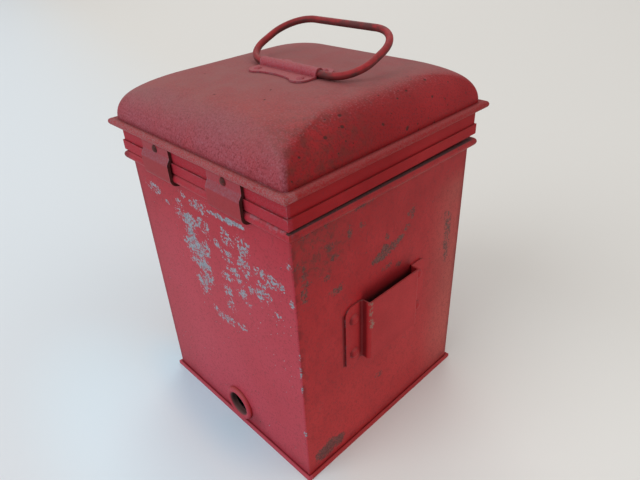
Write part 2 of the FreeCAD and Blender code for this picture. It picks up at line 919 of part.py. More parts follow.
def bulb_form(inset):
    """Outer or inner form of the bulb: a neck that swells into a globe on the optical axis."""
    neck = bulb_neck_r - inset
    globe = bulb_r - inset
    foot = cap_top - cap_cup + inset
    neck_top = cap_top + bulb_neck
    join = math.radians(bulb_join_angle)
    swell = (globe * math.cos(join), optic_z + globe * math.sin(join))
    ease = ((neck + 0.25 * (swell[0] - neck)), (neck_top + swell[1]) / 2)
    side = math.radians((bulb_join_angle + 90) / 2)
    over = (globe * math.cos(side), optic_z + globe * math.sin(side))
    return turned_lamp(
        (0.0, foot), (neck, foot), (neck, neck_top), (ease, swell), (over, (0.0, optic_z + globe))
    )


def bulb_glass():
    return bulb_form(0.0).cut(bulb_form(bulb_wall)).Solids[0]


def bulb_stem():
    foot = cap_top - cap_cup + bulb_wall
    return Part.makeCylinder(stem_r, stem_height, Vector(0, lamp_y, foot))


def bulb_filament():
    """Two support wires up from the stem and the coil between them, level with the optical axis."""
    half = filament_span / 2
    stem_top = cap_top - cap_cup + bulb_wall + stem_height + filament_r
    corners = [(-stem_r / 2, stem_top), (-half, optic_z), (half, optic_z), (stem_r / 2, stem_top)]
    points = [Vector(x, lamp_y, z) for x, z in corners]
    return rod(rounded_path(points, [2 * filament_r] * 2), filament_r)


# Reflector

def mirror_rivet_y():
    """Where the rivet's flat head meets the hollow of the mirror."""
    return lamp_y + math.sqrt(mirror_radius ** 2 - rivet_head_r ** 2)


def mirror_rivet_points():
    return [Vector(0, mirror_rivet_y(), optic_z)]


def reflector():
    """Spherical mirror centred on the filament."""
    back = mirror_radius + mirror_sheet
    open_angle = math.asin(mirror_rim_r / mirror_radius)

    def spot(radius, angle):
        return lamp_y + radius * math.cos(angle), radius * math.sin(angle)

    hole = (rivet_r + rivet_fit) / mirror_radius
    middle = open_angle / 2
    return turned_optic(
        spot(mirror_radius, hole), (spot(mirror_radius, middle), spot(mirror_radius, open_angle)),
        spot(back, open_angle), (spot(back, middle), spot(back, hole)),
    )


def reflector_strip():
    upright = strip_y + bracket_sheet / 2
    low = sheet + bracket_sheet / 2
    toe = strip_back_y + strip_foot
    corners = [yz(toe, low), yz(upright, low), yz(upright, optic_z + strip_above)]
    post = strip(rounded_path(corners, [strip_bend]), ACROSS, strip_width, bracket_sheet)
    post = riveted(post, mirror_rivet_points(), REAR)
    return riveted(post, strip_foot_points(), UP)


def reflector_rivets():
    through = rivets(mirror_rivet_points(), FRONT, strip_back_y - mirror_rivet_y())
    floor = rivets(strip_foot_points(), UP, bracket_sheet + sheet, tail=False)
    return Part.makeCompound([through, floor])


# The lid rides a little high at the front, so everything on it is turned about the hinge

def tilted(shape):
    turned = shape.copy()
    turned.rotate(yz(hinge_y, hinge_z), ACROSS, -lid_tilt)
    return turned


def tilted_point(point):
    return tilted(Part.Vertex(point)).Point


box_nodes = {
    "body_shell": body_shell(),
    "rim_bead": rim_bead(),
    "rim_wire": rim_wire(),
    "base_pan": base_pan(),
    "side_socket": side_socket(),
    "socket_rivets": rivets(socket_points(), SIDE, 2 * sheet, wide_rivet_head_r),
    "inlet_eyelet": inlet_eyelet(),
    "catch_stud": catch_stud(),
}

optic_nodes = {
    "condenser_cell": condenser_cell(),
    "cell_rivets": rivets(cell_points(), REAR, sheet + cell_flange, tail=False),
    "condenser_rear_lens": condenser_lens(condenser_places()[0], -1),
    "condenser_spacer": condenser_spacer(),
    "condenser_front_lens": condenser_lens(condenser_places()[3], 1),
    "condenser_ring": condenser_retainer(),
    "slide_stage": slide_stage(),
    "stage_rivets": rivets(stage_points(), FRONT, stage_plate + sheet),
    "stage_springs": stage_springs(),
    "objective_jacket": objective_jacket(),
    "jacket_rivets": rivets(jacket_points(), FRONT, jacket_flange + stage_plate),
    "objective_tube": objective_tube(),
    "objective_rear_lens": objective_lens(objective_edges()[0]),
    "objective_front_lens": objective_lens(objective_edges()[1]),
    "objective_rings": objective_rings(),
}

lamp_nodes = {
    "lamp_bracket": lamp_bracket(),
    "bracket_rivets": rivets(bracket_points(), UP, bracket_sheet + sheet, tail=False),
    "lamp_holder": lamp_holder(),
    "bulb_cap": bulb_cap(),
    "bulb_glass": bulb_glass(),
    "bulb_stem": bulb_stem(),
    "bulb_filament": bulb_filament(),
    "reflector": reflector(),
    "reflector_strip": reflector_strip(),
    "reflector_rivets": reflector_rivets(),
}

lid_nodes = {
    "lid_skirt": lid_skirt(),
    "lid_dome": lid_dome(),
    "hinge_strap_left": hinge_strap(strap_places()[1]),
    "hinge_strap_right": hinge_strap(strap_places()[0]),
    "hinge_rivets": rivets(hinge_points(), REAR, strap_thickness + sheet),
    "handle_saddle": handle_saddle(),
    "saddle_rivets": rivets(saddle_points(), UP, saddle_grip()),
    "handle_bail": handle_bail(),
    "catch_pivot": catch_pivot(),
    "catch_hook": catch_hook(),
}

os.makedirs("parts", exist_ok=True)
for group in (box_nodes, optic_nodes, lamp_nodes):
    for name, shape in group.items():
        shape.exportStep("parts/" + name + ".step")
for name, shape in lid_nodes.items():
    tilted(shape).exportStep("parts/" + name + ".step")
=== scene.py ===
import json
import math

import bpy
from mathutils import Matrix, Vector

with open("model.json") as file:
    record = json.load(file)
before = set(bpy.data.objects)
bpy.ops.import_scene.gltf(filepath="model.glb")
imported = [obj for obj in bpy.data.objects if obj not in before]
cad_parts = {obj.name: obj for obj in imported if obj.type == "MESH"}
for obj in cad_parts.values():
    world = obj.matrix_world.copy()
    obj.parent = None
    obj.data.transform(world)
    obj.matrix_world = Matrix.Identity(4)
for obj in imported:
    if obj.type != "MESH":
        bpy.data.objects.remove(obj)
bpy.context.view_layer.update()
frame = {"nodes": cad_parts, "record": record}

# Looks for a small sheet-iron magic lantern in chipped, dusty red enamel. Metres, +Z up, +Y the hinge side.

# Camera
camera_place = (-0.23899, 0.20921, 0.31096)
camera_yaw = -43.063
camera_pitch = -31.901
camera_roll = -2.824
camera_lens = 30.14
sensor_width = 36.0

# Colours, linear
red_deep = (0.340, 0.012, 0.015, 1)
red_bright = (0.450, 0.022, 0.026, 1)
# Paler, bluer red of faded paint and of painted sheen from the window light
red_bloom_and_sheen = (0.450, 0.046, 0.074, 1)
red_fresh = (0.375, 0.013, 0.026, 1)
red_light = (0.550, 0.036, 0.037, 1)
red_dark = (0.225, 0.007, 0.009, 1)
# Dark red for painted shade in gaps and under overhangs, and for soiling, streaks and grain
red_shade_and_grime = (0.105, 0.004, 0.006, 1)
red_speck = (0.170, 0.020, 0.026, 1)
dust_brown = (0.270, 0.135, 0.122, 1)
# Purple of fine dust, also painted sheen on faces towards the window
dust_and_sheen_purple = (0.275, 0.090, 0.118, 1)
dust_lilac = (0.340, 0.150, 0.185, 1)
dust_orange = (0.420, 0.140, 0.105, 1)
dust_olive = (0.250, 0.185, 0.140, 1)
tin_light = (0.315, 0.335, 0.380, 1)
tin_dull = (0.165, 0.172, 0.205, 1)
oxide_grey = (0.120, 0.070, 0.057, 1)
# Dark oxide in chips and stains, and painted shade under the handle and under the lid's lip
oxide_and_shade_dark = (0.050, 0.028, 0.026, 1)
stain_brown = (0.095, 0.028, 0.020, 1)
rust_brown = (0.120, 0.050, 0.028, 1)
# Sooty colour for inner linings and porcelain corners, and for painted shade inside the eyelet
soot_and_shade = (0.030, 0.026, 0.024, 1)
# Near black for painted shadow in gaps and in the socket's mouth
shadow_black = (0.014, 0.006, 0.006, 1)
# Dark brown for rust pits and rivets, and for painted shade on the hinges' side edges
pit_and_shade_brown = (0.034, 0.015, 0.011, 1)
brass_clean = (0.560, 0.380, 0.140, 1)
brass_aged = (0.240, 0.140, 0.050, 1)
iron_grey = (0.240, 0.235, 0.230, 1)
porcelain_white = (0.760, 0.740, 0.680, 1)
mirror_silver = (0.820, 0.830, 0.840, 1)
tungsten = (0.110, 0.110, 0.115, 1)
steel_bright = (0.420, 0.420, 0.430, 1)
tin_plate = (0.360, 0.360, 0.365, 1)
heat_brown = (0.420, 0.300, 0.190, 1)
tarnish_brown = (0.460, 0.420, 0.360, 1)
lens_tint = (0.930, 0.980, 0.960, 1)
bulb_tint = (0.970, 0.985, 0.990, 1)
# Floor colours that carry painted window light, painted shadow and painted room light
floor_cool = (0.735, 0.770, 0.795, 1)
floor_warm = (0.745, 0.715, 0.672, 1)
painted_window_light = (0.755, 0.880, 0.940, 1)
floor_shade = (0.600, 0.800, 0.920, 1)
painted_room_light = (0.815, 0.795, 0.750, 1)

# Axes
X = 0
Y = 1
Z = 2

# Places on the part that the wear follows
wall_rear = 0.075
wall_side = -0.075
socket_face = -0.082
floor_edge = 0.0748
hinge_y = 0.0756
lid_tilt = 0.01047
eyelet_middle = (-0.0055, 0.0, 0.0165)
patch_reach = 0.004

# Middles of the box and of the lid's hollow, from which inner faces are told apart
box_middle = (0.0, 0.0, 0.09)
lid_middle = (0.0, 0.0, 0.205)

# Worn patches in millimetres, as middle and half sizes: along x and z on the rear wall, y and z on the side
rear_chips = (
    (4, 170, 7, 4), (3, 157, 6, 5), (4, 141, 4.5, 5.5), (7, 121, 5, 7), (14, 111, 6, 7),
    (20, 172, 2.4, 2), (26, 165, 3, 2.4),
    (41, 160, 2.2, 1.5), (29, 157, 3, 4), (-18, 162, 4, 2.4), (-21, 157, 5.4, 3), (-9, 150, 3, 3),
    (-17, 148, 7, 2), (-35, 162, 5.4, 3), (-35, 157, 5, 5), (-34, 145, 6, 6), (-18, 143, 5, 1.4),
    (-22, 137, 6, 2.6), (-15, 130, 6, 2.8), (-13, 119, 4, 4), (-14, 108, 4.4, 4.4), (-29, 124, 4.4, 3.6),
    (-28, 132, 3, 2), (-45, 149, 3.2, 2), (-49, 148, 6, 3.2), (-56, 147, 7, 4.2), (-47, 140, 5, 2.2),
    (-46, 133, 6, 3.6), (-38, 132, 2.8, 2.2), (-53, 135, 3.4, 2.4), (-66, 147, 2, 2.4), (5, 96, 3.2, 2.6),
    (-3, 93, 6, 3.4), (-11, 94, 4.2, 2.8), (-22, 96, 5, 2.2), (-33, 119, 2.8, 2.4), (-72, 163, 2, 2.4),
    (-72, 140, 2.2, 2.4), (-60, 126, 2.4, 1.8), (55, 165, 7, 3.4),
)
heavy_chips = ((17, 155, 8, 5), (18, 147, 6, 4.5), (15, 137, 10, 7), (22, 138, 6, 4), (12, 127, 9, 5))
strap_scrape = ((-9, 170.1, 5, 1.6), (-16, 170.3, 6, 2.0), (-24, 170.8, 7, 2.2), (-33, 171.8, 7, 1.8))
side_stains = (
    (3, 149, 2, 2), (3, 128, 4, 1.8), (-8, 124, 2.4, 1.6), (-19, 155, 3.4, 3.4), (-15, 147, 2.6, 2),
    (-59, 134, 3, 5), (-60, 124, 3, 5), (-60, 115, 2.6, 5), (-61, 106, 2, 6), (68, 152, 2.6, 7),
    (69, 144, 2.2, 4), (72, 162, 2.4, 2), (46, 134, 4.4, 2), (53, 146, 3, 1.6), (46, 156, 3, 1.8),
    (50, 164, 3.2, 2), (34, 165, 1.8, 2.2), (24, 166, 2.4, 2.2), (25, 178, 8, 1.4), (53, 178, 2.6, 2.2),
    (66, 178, 3.8, 1.6), (9, 43, 3, 2.4),
)
heavy_stains = (
    (13, 137, 4, 2.6), (8, 138, 5, 3.2), (5, 141.5, 3, 2.6), (2, 138, 3, 2.6), (-3, 140, 3, 3),
    (-9, 142, 3.4, 2.8),
)
corner_chips = ((-74, 41.6, 2, 2.4), (-74.4, 80, 0.6, 3), (-74.4, 94, 0.6, 5), (-74.4, 104, 0.6, 3))
foot_stain = ((63, 13, 7, 7.5), (56, 13.5, 8, 8), (48, 12.5, 7, 6.5))
socket_wear = ((24.6, 116, 1.6, 2), (24.4, 110, 1.5, 4), (24.2, 102, 1.6, 5), (22.5, 100, 1.6, 2))


class Paint:
    """One material's node tree: each method adds nodes and gives back an output."""

    def __init__(self, name):
        self.material = bpy.data.materials.new(name)
        self.material.use_nodes = True
        self.tree = self.material.node_tree
        self.tree.nodes.clear()
        self.coords = self.tree.nodes.new("ShaderNodeTexCoord")
        self.place = self.coords.outputs["Object"]
        self.normal = self.coords.outputs["Normal"]

    def node(self, kind, *inputs, **settings):
        made = self.tree.nodes.new("ShaderNode" + kind)
        for key, value in settings.items():
            setattr(made, key, value)
        for socket, value in zip(made.inputs, inputs):
            self.feed(socket, value)
        return made

    def feed(self, socket, value):
        if isinstance(value, bpy.types.NodeSocket):
            self.tree.links.new(value, socket)
        elif value is not None:
            socket.default_value = value

    def math(self, operation, a, b=None):
        return self.node("Math", a, b, operation=operation).outputs[0]

    def times(self, *values):
        result = values[0]
        for value in values[1:]:
            result = self.math("MULTIPLY", result, value)
        return result

    def most(self, *values):
        result = values[0]
        for value in values[1:]:
            result = self.math("MAXIMUM", result, value)
        return result

    def inverse(self, value):
        return self.math("SUBTRACT", 1.0, value)

    def vector(self, operation, a, b=None):
        return self.node("VectorMath", a, b, operation=operation)

    def axis(self, vector, index):
        return self.node("SeparateXYZ", vector).outputs[index]

    def ramp(self, value, low, high, start=0.0, end=1.0):
        """Smooth step of a value from low to high."""
        kind = {"interpolation_type": "SMOOTHSTEP"}
        return self.node("MapRange", value, low, high, start, end, **kind).outputs[0]

    def spot(self):
        """Place along x, y and z."""
        return [self.axis(self.place, index) for index in (X, Y, Z)]

    def along(self, index, low, high):
        """Smooth step of the place along an axis."""
        return self.ramp(self.axis(self.place, index), low, high)

    def facing(self, index, low, high, start=0.0, end=1.0):
        """Smooth step of how far a face looks along an axis."""
        return self.ramp(self.axis(self.normal, index), low, high, start, end)

    def noise(self, scale, detail=3.0, rough=0.55, stretch=None, twist=0.0):
        """Noise whose scale is in features per metre."""
        place = self.place
        if stretch:
            place = self.vector("MULTIPLY", place, stretch).outputs[0]
        made = self.node("TexNoise")
        for key, value in (("Vector", place), ("Scale", scale), ("Detail", detail), ("Roughness", rough),
                           ("Distortion", twist)):
            self.feed(made.inputs[key], value)
        return made.outputs["Fac"]

    def dots(self, place, scale, share, size):
        """Scattered round spots on a flat pattern: a share of the cells has one, up to a size in cells."""
        made = self.node("TexVoronoi", voronoi_dimensions="2D")
        self.feed(made.inputs["Vector"], place)
        self.feed(made.inputs["Scale"], scale)
        chance = self.axis(made.outputs["Color"], 0)
        width = self.ramp(self.axis(made.outputs["Color"], 1), 0.0, 1.0, 0.35 * size, size)
        inside = self.ramp(self.math("SUBTRACT", width, made.outputs["Distance"]), 0.0, 0.6 * size)
        return self.math("MULTIPLY", inside, self.math("LESS_THAN", chance, share))

    def dot(self, a, b):
        return self.vector("DOT_PRODUCT", a, b).outputs["Value"]

    def unrolled(self):
        """Flat pattern that no outer face meets edge-on, shifted from quarter to quarter."""
        folded = self.vector("ABSOLUTE", self.place).outputs[0]
        quarter = self.vector("SIGN", self.place).outputs[0]
        along = self.math("ADD", self.dot(folded, (-1.0, 0.9, 0.0)), self.dot(quarter, (0.31, 0.17, 0.0)))
        return self.node("CombineXYZ", along, self.dot(folded, (-0.7, -0.6, 1.0))).outputs[0]

    def blob(self, centre, radii, peak=1.0):
        """Soft patch: peak at the centre, nothing beyond the radii."""
        away = self.vector("SUBTRACT", self.place, centre).outputs[0]
        share = self.vector("DIVIDE", away, radii).outputs[0]
        return self.ramp(self.vector("LENGTH", share).outputs["Value"], 1.15, 0.35, 0.0, peak)

    def mix(self, share, a, b):
        made = self.node("Mix", data_type="RGBA")
        for index, value in ((0, share), (6, a), (7, b)):
            self.feed(made.inputs[index], value)
        return made.outputs[2]

    def between(self, share, a, b):
        made = self.node("Mix", data_type="FLOAT")
        for index, value in ((0, share), (2, a), (3, b)):
            self.feed(made.inputs[index], value)
        return made.outputs[0]

    def edges(self, radius):
        """Share of wear on outside edges, from the normal of a bevel."""
        bevel = self.node("Bevel", samples=6)
        self.feed(bevel.inputs["Radius"], radius)
        geometry = self.node("NewGeometry")
        bend = self.dot(bevel.outputs[0], geometry.outputs["Normal"])
        return self.ramp(self.inverse(bend), 0.02, 0.25)

    def crevice(self, distance):
        """Share where faces meet, by occlusion: painted shade on the enamel, and rust, tarnish and sooty
        corners elsewhere.
        """
        occlusion = self.node("AmbientOcclusion", samples=6)
        self.feed(occlusion.inputs["Distance"], distance)
        return self.ramp(occlusion.outputs["AO"], 0.75, 0.25)

    def inner(self, middle):
        """1 on faces that look towards the middle, 0 on outer ones."""
        away = self.vector("SUBTRACT", self.place, middle).outputs[0]
        return self.math("LESS_THAN", self.dot(away, self.normal), -0.002)

    def finish(self, colour, rough, metal=0.0, height=None, depth=0.001, strength=0.5, **sockets):
        shader = self.node("BsdfPrincipled")
        self.feed(shader.inputs["Base Color"], colour)
        self.feed(shader.inputs["Roughness"], rough)
        self.feed(shader.inputs["Metallic"], metal)
        for key, value in sockets.items():
            self.feed(shader.inputs[key.replace("_", " ")], value)
        if height is not None:
            bump = self.node("Bump")
            for key, value in (("Strength", strength), ("Distance", depth), ("Height", height)):
                self.feed(bump.inputs[key], value)
            self.feed(shader.inputs["Normal"], bump.outputs[0])
        out = self.node("OutputMaterial")
        self.tree.links.new(shader.outputs[0], out.inputs["Surface"])
        return self.material


# Enamel

class Enamel(Paint):
    """Red enamel on sheet iron: each method lays one more layer over a colour."""

    def __init__(self, name):
        super().__init__(name)
        self.cloud = self.noise(14, 3)
        self.mottle = self.noise(70, 4)
        self.grain = self.noise(900, 3, 0.7)
        self.fine = self.noise(2600, 2, 0.6)
        self.up = self.axis(self.normal, Z)
        self.rear = self.facing(Y, 0.1, 0.85)

    def faded(self, bloom_and_sheen):
        """Cloudy red, paler and bluer at the rear: faded paint and a painted sheen of the cool window
        light.
        """
        shade = self.math("ADD", self.times(self.cloud, 0.6), self.times(self.mottle, 0.4))
        colour = self.mix(self.ramp(shade, 0.30, 0.70), red_deep, red_bright)
        # Painted sheen and fading on faces towards the window
        pale = self.times(self.rear, self.ramp(self.cloud, 0.25, 0.7, 0.7, 1.0), bloom_and_sheen)
        return self.mix(pale, colour, red_bloom_and_sheen)

    def speckled(self, colour, speckle):
        return self.mix(self.times(self.ramp(self.grain, 0.52, 0.66), speckle), colour, red_speck)

    def dusted(self, colour, amount):
        """Colour under settled dust and fine powder, and the share that they cover."""
        level = self.ramp(self.up, 0.2, 0.97)
        settled = self.times(level, self.ramp(self.mottle, 0.2, 0.75, 0.6, 1.0), amount)
        slope = self.ramp(self.up, -0.2, 0.8, 0.05, 0.6)
        powder = self.times(self.ramp(self.fine, 0.48, 0.62), slope, amount)
        colour = self.mix(settled, colour, dust_brown)
        return self.mix(powder, colour, dust_and_sheen_purple), self.most(settled, powder)

    def rubbed(self, wear):
        """Share of bare metal along the edges."""
        return self.times(self.edges(0.0014), self.ramp(self.noise(160, 4, 0.7), 0.47, 0.62), wear)

    def chipped(self, colour, chips):
        """Tin in the chips at the rear, oxide in the others."""
        tin = self.mix(self.ramp(self.grain, 0.38, 0.58), tin_dull, tin_light)
        oxide = self.mix(self.ramp(self.mottle, 0.35, 0.6), oxide_and_shade_dark, oxide_grey)
        return self.mix(chips, colour, self.mix(self.rear, oxide, tin))

    def crevice_shaded_and_soiled(self, colour, crevice_shade_and_grime):
        # Painted shade and soiling: dark red where faces meet
        shade_and_soiling = self.times(self.crevice(0.005), self.ramp(self.mottle, 0.2, 0.7, 0.5, 1.0), crevice_shade_and_grime)
        return self.mix(shade_and_soiling, colour, red_shade_and_grime)

    def lining(self):
        """Sooty tin with rust, for inner faces."""
        shade = self.ramp(self.math("ADD", self.cloud, self.mottle), 0.8, 1.25)
        rust = self.ramp(self.noise(90, 5, 0.7), 0.58, 0.7)
        return self.mix(rust, self.mix(shade, soot_and_shade, tin_dull), rust_brown)

    def relief(self, hollow):
        """Height of the grain, lower where the paint is gone."""
        height = self.math("SUBTRACT", self.times(self.fine, 0.10), self.times(hollow, 0.5))
        return self.math("ADD", height, self.times(self.grain, 0.12))


def few_pits(p):
    return p.dots(p.unrolled(), 60, 0.06, 0.05)


def enamel(name, dust=0.3, bloom_and_sheen=0.0, wear=0.5, crevice_shade_and_grime=0.4, speckle=0.4, gloss=0.18,
           pits=few_pits, bare=None, inside=None, tone=None):
    """Worn enamel from the amount of each layer; pits, bare, inside and tone are functions of the paint."""
    p = Enamel(name)
    colour = p.faded(bloom_and_sheen)
    if tone is not None:
        colour = tone(p, colour)
    colour = p.speckled(colour, speckle)
    colour, dusty = p.dusted(colour, dust(p) if callable(dust) else dust)
    spots = pits(p)
    colour = p.mix(p.times(spots, 0.8), colour, pit_and_shade_brown)
    chips = p.rubbed(wear)
    if bare is not None:
        chips = p.most(chips, p.ramp(bare(p), 0.0, 0.02))
    # Painted shade and soiling where faces meet
    colour = p.crevice_shaded_and_soiled(p.chipped(colour, chips), crevice_shade_and_grime)
    metal = p.times(chips, p.rear, 0.3)
    if inside is not None:
        hidden = inside(p)
        colour = p.mix(hidden, colour, p.lining())
        metal = p.between(hidden, metal, 0.45)
    rough = p.between(dusty, p.between(p.grain, 0.42, 0.58), 0.9)
    height = p.relief(p.most(chips, spots))
    return p.finish(colour, rough, metal, height, 0.0004, 0.6, Specular_IOR_Level=gloss)


def box_inside(p):
    return p.inner(box_middle)


def lid_inside(p):
    return p.inner(lid_middle)


def floor_inside(p):
    """Floor between the walls."""
    x, y = (p.math("ABSOLUTE", p.axis(p.place, index)) for index in (X, Y))
    return p.times(p.inner(box_middle), p.math("LESS_THAN", p.most(x, y), floor_edge))


def ragged(p, patches):
    """How far a noise stands above the level that the patches lower: over 0 it breaks through."""
    region = p.most(*[p.blob(*patch) for patch in patches])
    coarse = p.noise(300, 3, 0.6, twist=0.6)
    small = p.noise(900, 3, 0.62, twist=0.4)
    mixed = p.math("ADD", p.times(coarse, 0.45), p.times(small, 0.55))
    level = p.math("SUBTRACT", 0.66, p.times(region, 0.165))
    return p.math("SUBTRACT", mixed, level)


def metres(rows):
    return [[value / 1000 for value in row] for row in rows]


def on_rear(rows, spread, peak=1.0):
    """Patches on the rear wall from rows of x, z and half sizes."""
    return [((x, wall_rear, z), (spread * rx, patch_reach, spread * rz), peak)
            for x, z, rx, rz in metres(rows)]


def on_side(rows, spread, peak=1.0, plane=wall_side):
    """Patches on the socket's side from rows of y, z and half sizes."""
    return [((plane, y, z), (patch_reach, spread * ry, spread * rz), peak)
            for y, z, ry, rz in metres(rows)]


def socket_side(p):
    return p.facing(X, -0.6, -0.9)


def body_bare(p):
    """Bare tin under the hinges and along the near corner."""
    scrapes = on_rear(strap_scrape, 1.3, 1.5) + on_rear(corner_chips, 1.4, 1.2)
    near = p.blob((-0.056, wall_rear, 0.108), (0.026, patch_reach, 0.036))
    flecks = p.times(p.dots(p.unrolled(), 330, 0.3, 0.17), near)
    chips = on_rear(rear_chips, 1.7) + on_rear(heavy_chips, 1.6, 1.25)
    return p.most(ragged(p, chips + scrapes), p.times(flecks, 0.03))


def body_tone(p, colour):
    colour = body_fading(p, colour)
    colour = body_stains(p, colour)
    colour = body_lines(p, colour)
    colour = socket_shadows(p, colour)
    colour = edge_shade_and_soiling(p, colour)
    return plain_wall_wear(p, colour)


def body_fading(p, colour):
    """Fresh red under the lid, paler paint lower down, and darker or dustier far edges."""
    x, y, z = p.spot()
    side = socket_side(p)
    rear = p.facing(Y, 0.6, 0.9)
    patchy = p.ramp(p.noise(22, 4), 0.3, 0.65, 0.6, 1.0)
    high = p.times(p.ramp(z, 0.120, 0.172), patchy)
    colour = p.mix(p.times(rear, high, 0.85), colour, red_fresh)
    colour = p.mix(p.times(rear, p.ramp(x, 0.030, 0.072), patchy, 0.25), colour, red_dark)
    colour = p.mix(p.times(side, high, 0.25), colour, red_dark)
    colour = p.mix(p.times(side, p.ramp(z, 0.100, 0.030), patchy, 0.5), colour, red_light)
    dusty = p.times(p.ramp(y, -0.030, -0.070), p.ramp(z, 0.172, 0.150))
    return p.mix(p.times(side, dusty, patchy, 0.4), colour, dust_orange)


def body_stains(p, colour):
    """Soft brown-grey patches on the socket's side, and fine streaks down it."""
    side = socket_side(p)
    streaks = p.ramp(p.noise(420, 4, 0.65, stretch=(1, 1, 0.55)), 0.50, 0.68)
    colour = p.mix(p.times(side, streaks, 0.25), colour, red_shade_and_grime)
    heavy = on_side(heavy_stains, 1.6, 1.35) + on_side(foot_stain, 1.15, 1.6)
    margin = ragged(p, on_side(side_stains, 1.8) + heavy)
    stain = p.mix(p.ramp(p.noise(1100, 2), 0.42, 0.58), oxide_and_shade_dark, oxide_grey)
    return p.mix(p.times(p.ramp(margin, -0.05, 0.04), 0.85), colour, stain)


def body_lines(p, colour):
    """Worn line under the rolled rim, dust on its top, painted shadow in the gap under the lid's hem, and
    soiling beside the near corner.
    """
    x, y, z = p.spot()
    side = socket_side(p)
    broken = p.ramp(p.noise(120, 3), 0.4, 0.55)
    line = p.times(p.ramp(z, 0.1776, 0.1782), p.ramp(z, 0.1790, 0.1785), p.ramp(y, 0.056, 0.045))
    colour = p.mix(p.times(line, side, broken, 0.85), colour, dust_orange)
    ledge = p.times(p.ramp(z, 0.1825, 0.1840), p.ramp(y, 0.0745, 0.0765), p.ramp(x, 0.01, -0.03), broken)
    colour = p.mix(p.times(ledge, p.ramp(p.noise(500, 3), 0.4, 0.6), 0.7), colour, dust_lilac)
    # Painted shadow: near black in the gap under the lid's hem
    hem = p.times(p.facing(Z, 0.60, 0.76), p.ramp(x, -0.0752, -0.0758), p.ramp(y, -0.078, -0.072))
    colour = p.mix(p.times(hem, p.ramp(z, 0.1828, 0.1834)), colour, shadow_black)
    corner = p.times(p.ramp(y, 0.0712, 0.0735), side, p.ramp(z, 0.045, 0.075), broken)
    return p.mix(p.times(corner, 0.5), colour, red_shade_and_grime)


def socket_shadows(p, colour):
    """Painted shadow on the wall along the socket's flange and in its mouth."""
    y, z = p.spot()[1:]
    side = socket_side(p)
    # Painted shadow beside the flange's edge
    beside = p.times(p.ramp(y, 0.0428, 0.0412), p.ramp(y, 0.0394, 0.0399), p.ramp(z, 0.0728, 0.0740))
    colour = p.mix(p.times(beside, p.ramp(z, 0.1145, 0.1120), side, 0.75), colour, red_shade_and_grime)
    # Painted shadow inside the socket's mouth: dark red, then near black deeper in
    mouth = p.times(p.ramp(y, 0.0265, 0.0235), p.ramp(y, -0.0225, -0.0190), side)
    mouth = p.times(mouth, p.ramp(z, 0.0800, 0.0900))
    colour = p.mix(p.times(mouth, p.ramp(z, 0.1290, 0.1150), 0.6), colour, red_shade_and_grime)
    return p.mix(p.times(mouth, p.ramp(z, 0.1165, 0.1110), 0.9), colour, shadow_black)


def edge_shade_and_soiling(p, colour):
    """Darker red along the foot of the walls, down their far edges and by the eyelet, painted shade and
    soiling, and brown stains under the rim.
    """
    x, y, z = p.spot()
    # Painted shade and soiling: darker at the foot, down the far edges and below the eyelet
    foot = p.ramp(z, 0.016, 0.003, 0.0, 0.4)
    far = p.most(p.ramp(x, 0.069, 0.0745), p.ramp(y, -0.069, -0.0745))
    below = p.blob((-0.016, wall_rear, 0.010), (0.022, patch_reach, 0.014), 0.4)
    patchy = p.ramp(p.noise(75, 5, 0.65), 0.32, 0.64, 0.35, 1.0)
    colour = p.mix(p.times(p.most(foot, p.times(far, 0.55), below), patchy), colour, red_shade_and_grime)
    corner = p.blob((wall_side, 0.056, 0.166), (patch_reach, 0.026, 0.022))
    return p.mix(p.times(corner, p.ramp(p.noise(420, 5, 0.7), 0.44, 0.66, 0.15, 0.75)), colour, stain_brown)


def plain_wall_wear(p, colour):
    """Faded clouds and scuffs on the lens side and on the side across from the socket."""
    plain = p.most(p.facing(X, 0.6, 0.9), p.facing(Y, -0.6, -0.9))
    faded = p.ramp(p.noise(18, 4), 0.35, 0.7, 0.0, 0.45)
    colour = p.mix(p.times(plain, faded), colour, red_bloom_and_sheen)
    scuffs = p.ramp(p.noise(130, 5, 0.7, stretch=(1, 1, 0.5)), 0.59, 0.66)
    return p.mix(p.times(plain, scuffs, 0.7), colour, oxide_grey)


def lid_height(p):
    """Height along the lid, which is a little tilted about its hinge."""
    y, z = p.spot()[1:]
    return p.math("ADD", z, p.times(p.math("SUBTRACT", y, hinge_y), lid_tilt))


def dome_tone(p, colour):
    """Dark red on the socket's side as painted shade, purple dust and painted sheen on the hinge side, and
    brown stains by the near corner.
    """
    side = p.facing(X, 0.0, -0.6)
    rear = p.facing(Y, 0.05, 0.6)
    roof = p.facing(Z, 0.7, 0.95)
    patchy = p.ramp(p.noise(30, 4), 0.3, 0.7, 0.6, 1.0)
    colour = p.mix(p.times(roof, patchy, 0.1), colour, red_dark)
    # Painted shade: dark red over the socket's side of the roof
    colour = p.mix(p.times(side, patchy, 0.78), colour, red_dark)
    # Purple on the hinge side: dust and a painted sheen of the cool window light
    colour = p.mix(p.times(rear, patchy, 0.62), colour, dust_and_sheen_purple)
    corner = p.blob((-0.070, 0.052, 0.218), (0.030, 0.045, 0.024))
    shoulder = p.blob((-0.050, -0.010, 0.232), (0.026, 0.080, 0.030), 0.55)
    away = p.facing(Y, 0.75, 0.35)
    smudge = p.ramp(p.noise(190, 5, 0.7), 0.38, 0.68)
    colour = p.mix(p.times(p.most(corner, shoulder), away, smudge, 0.6), colour, stain_brown)
    leather = p.noise(980, 2, 0.6)
    colour = p.mix(p.ramp(leather, 0.48, 0.36, 0.0, 0.42), colour, red_shade_and_grime)
    return p.mix(p.times(p.ramp(leather, 0.54, 0.68, 0.0, 0.35), p.most(rear, roof)), colour, dust_lilac)


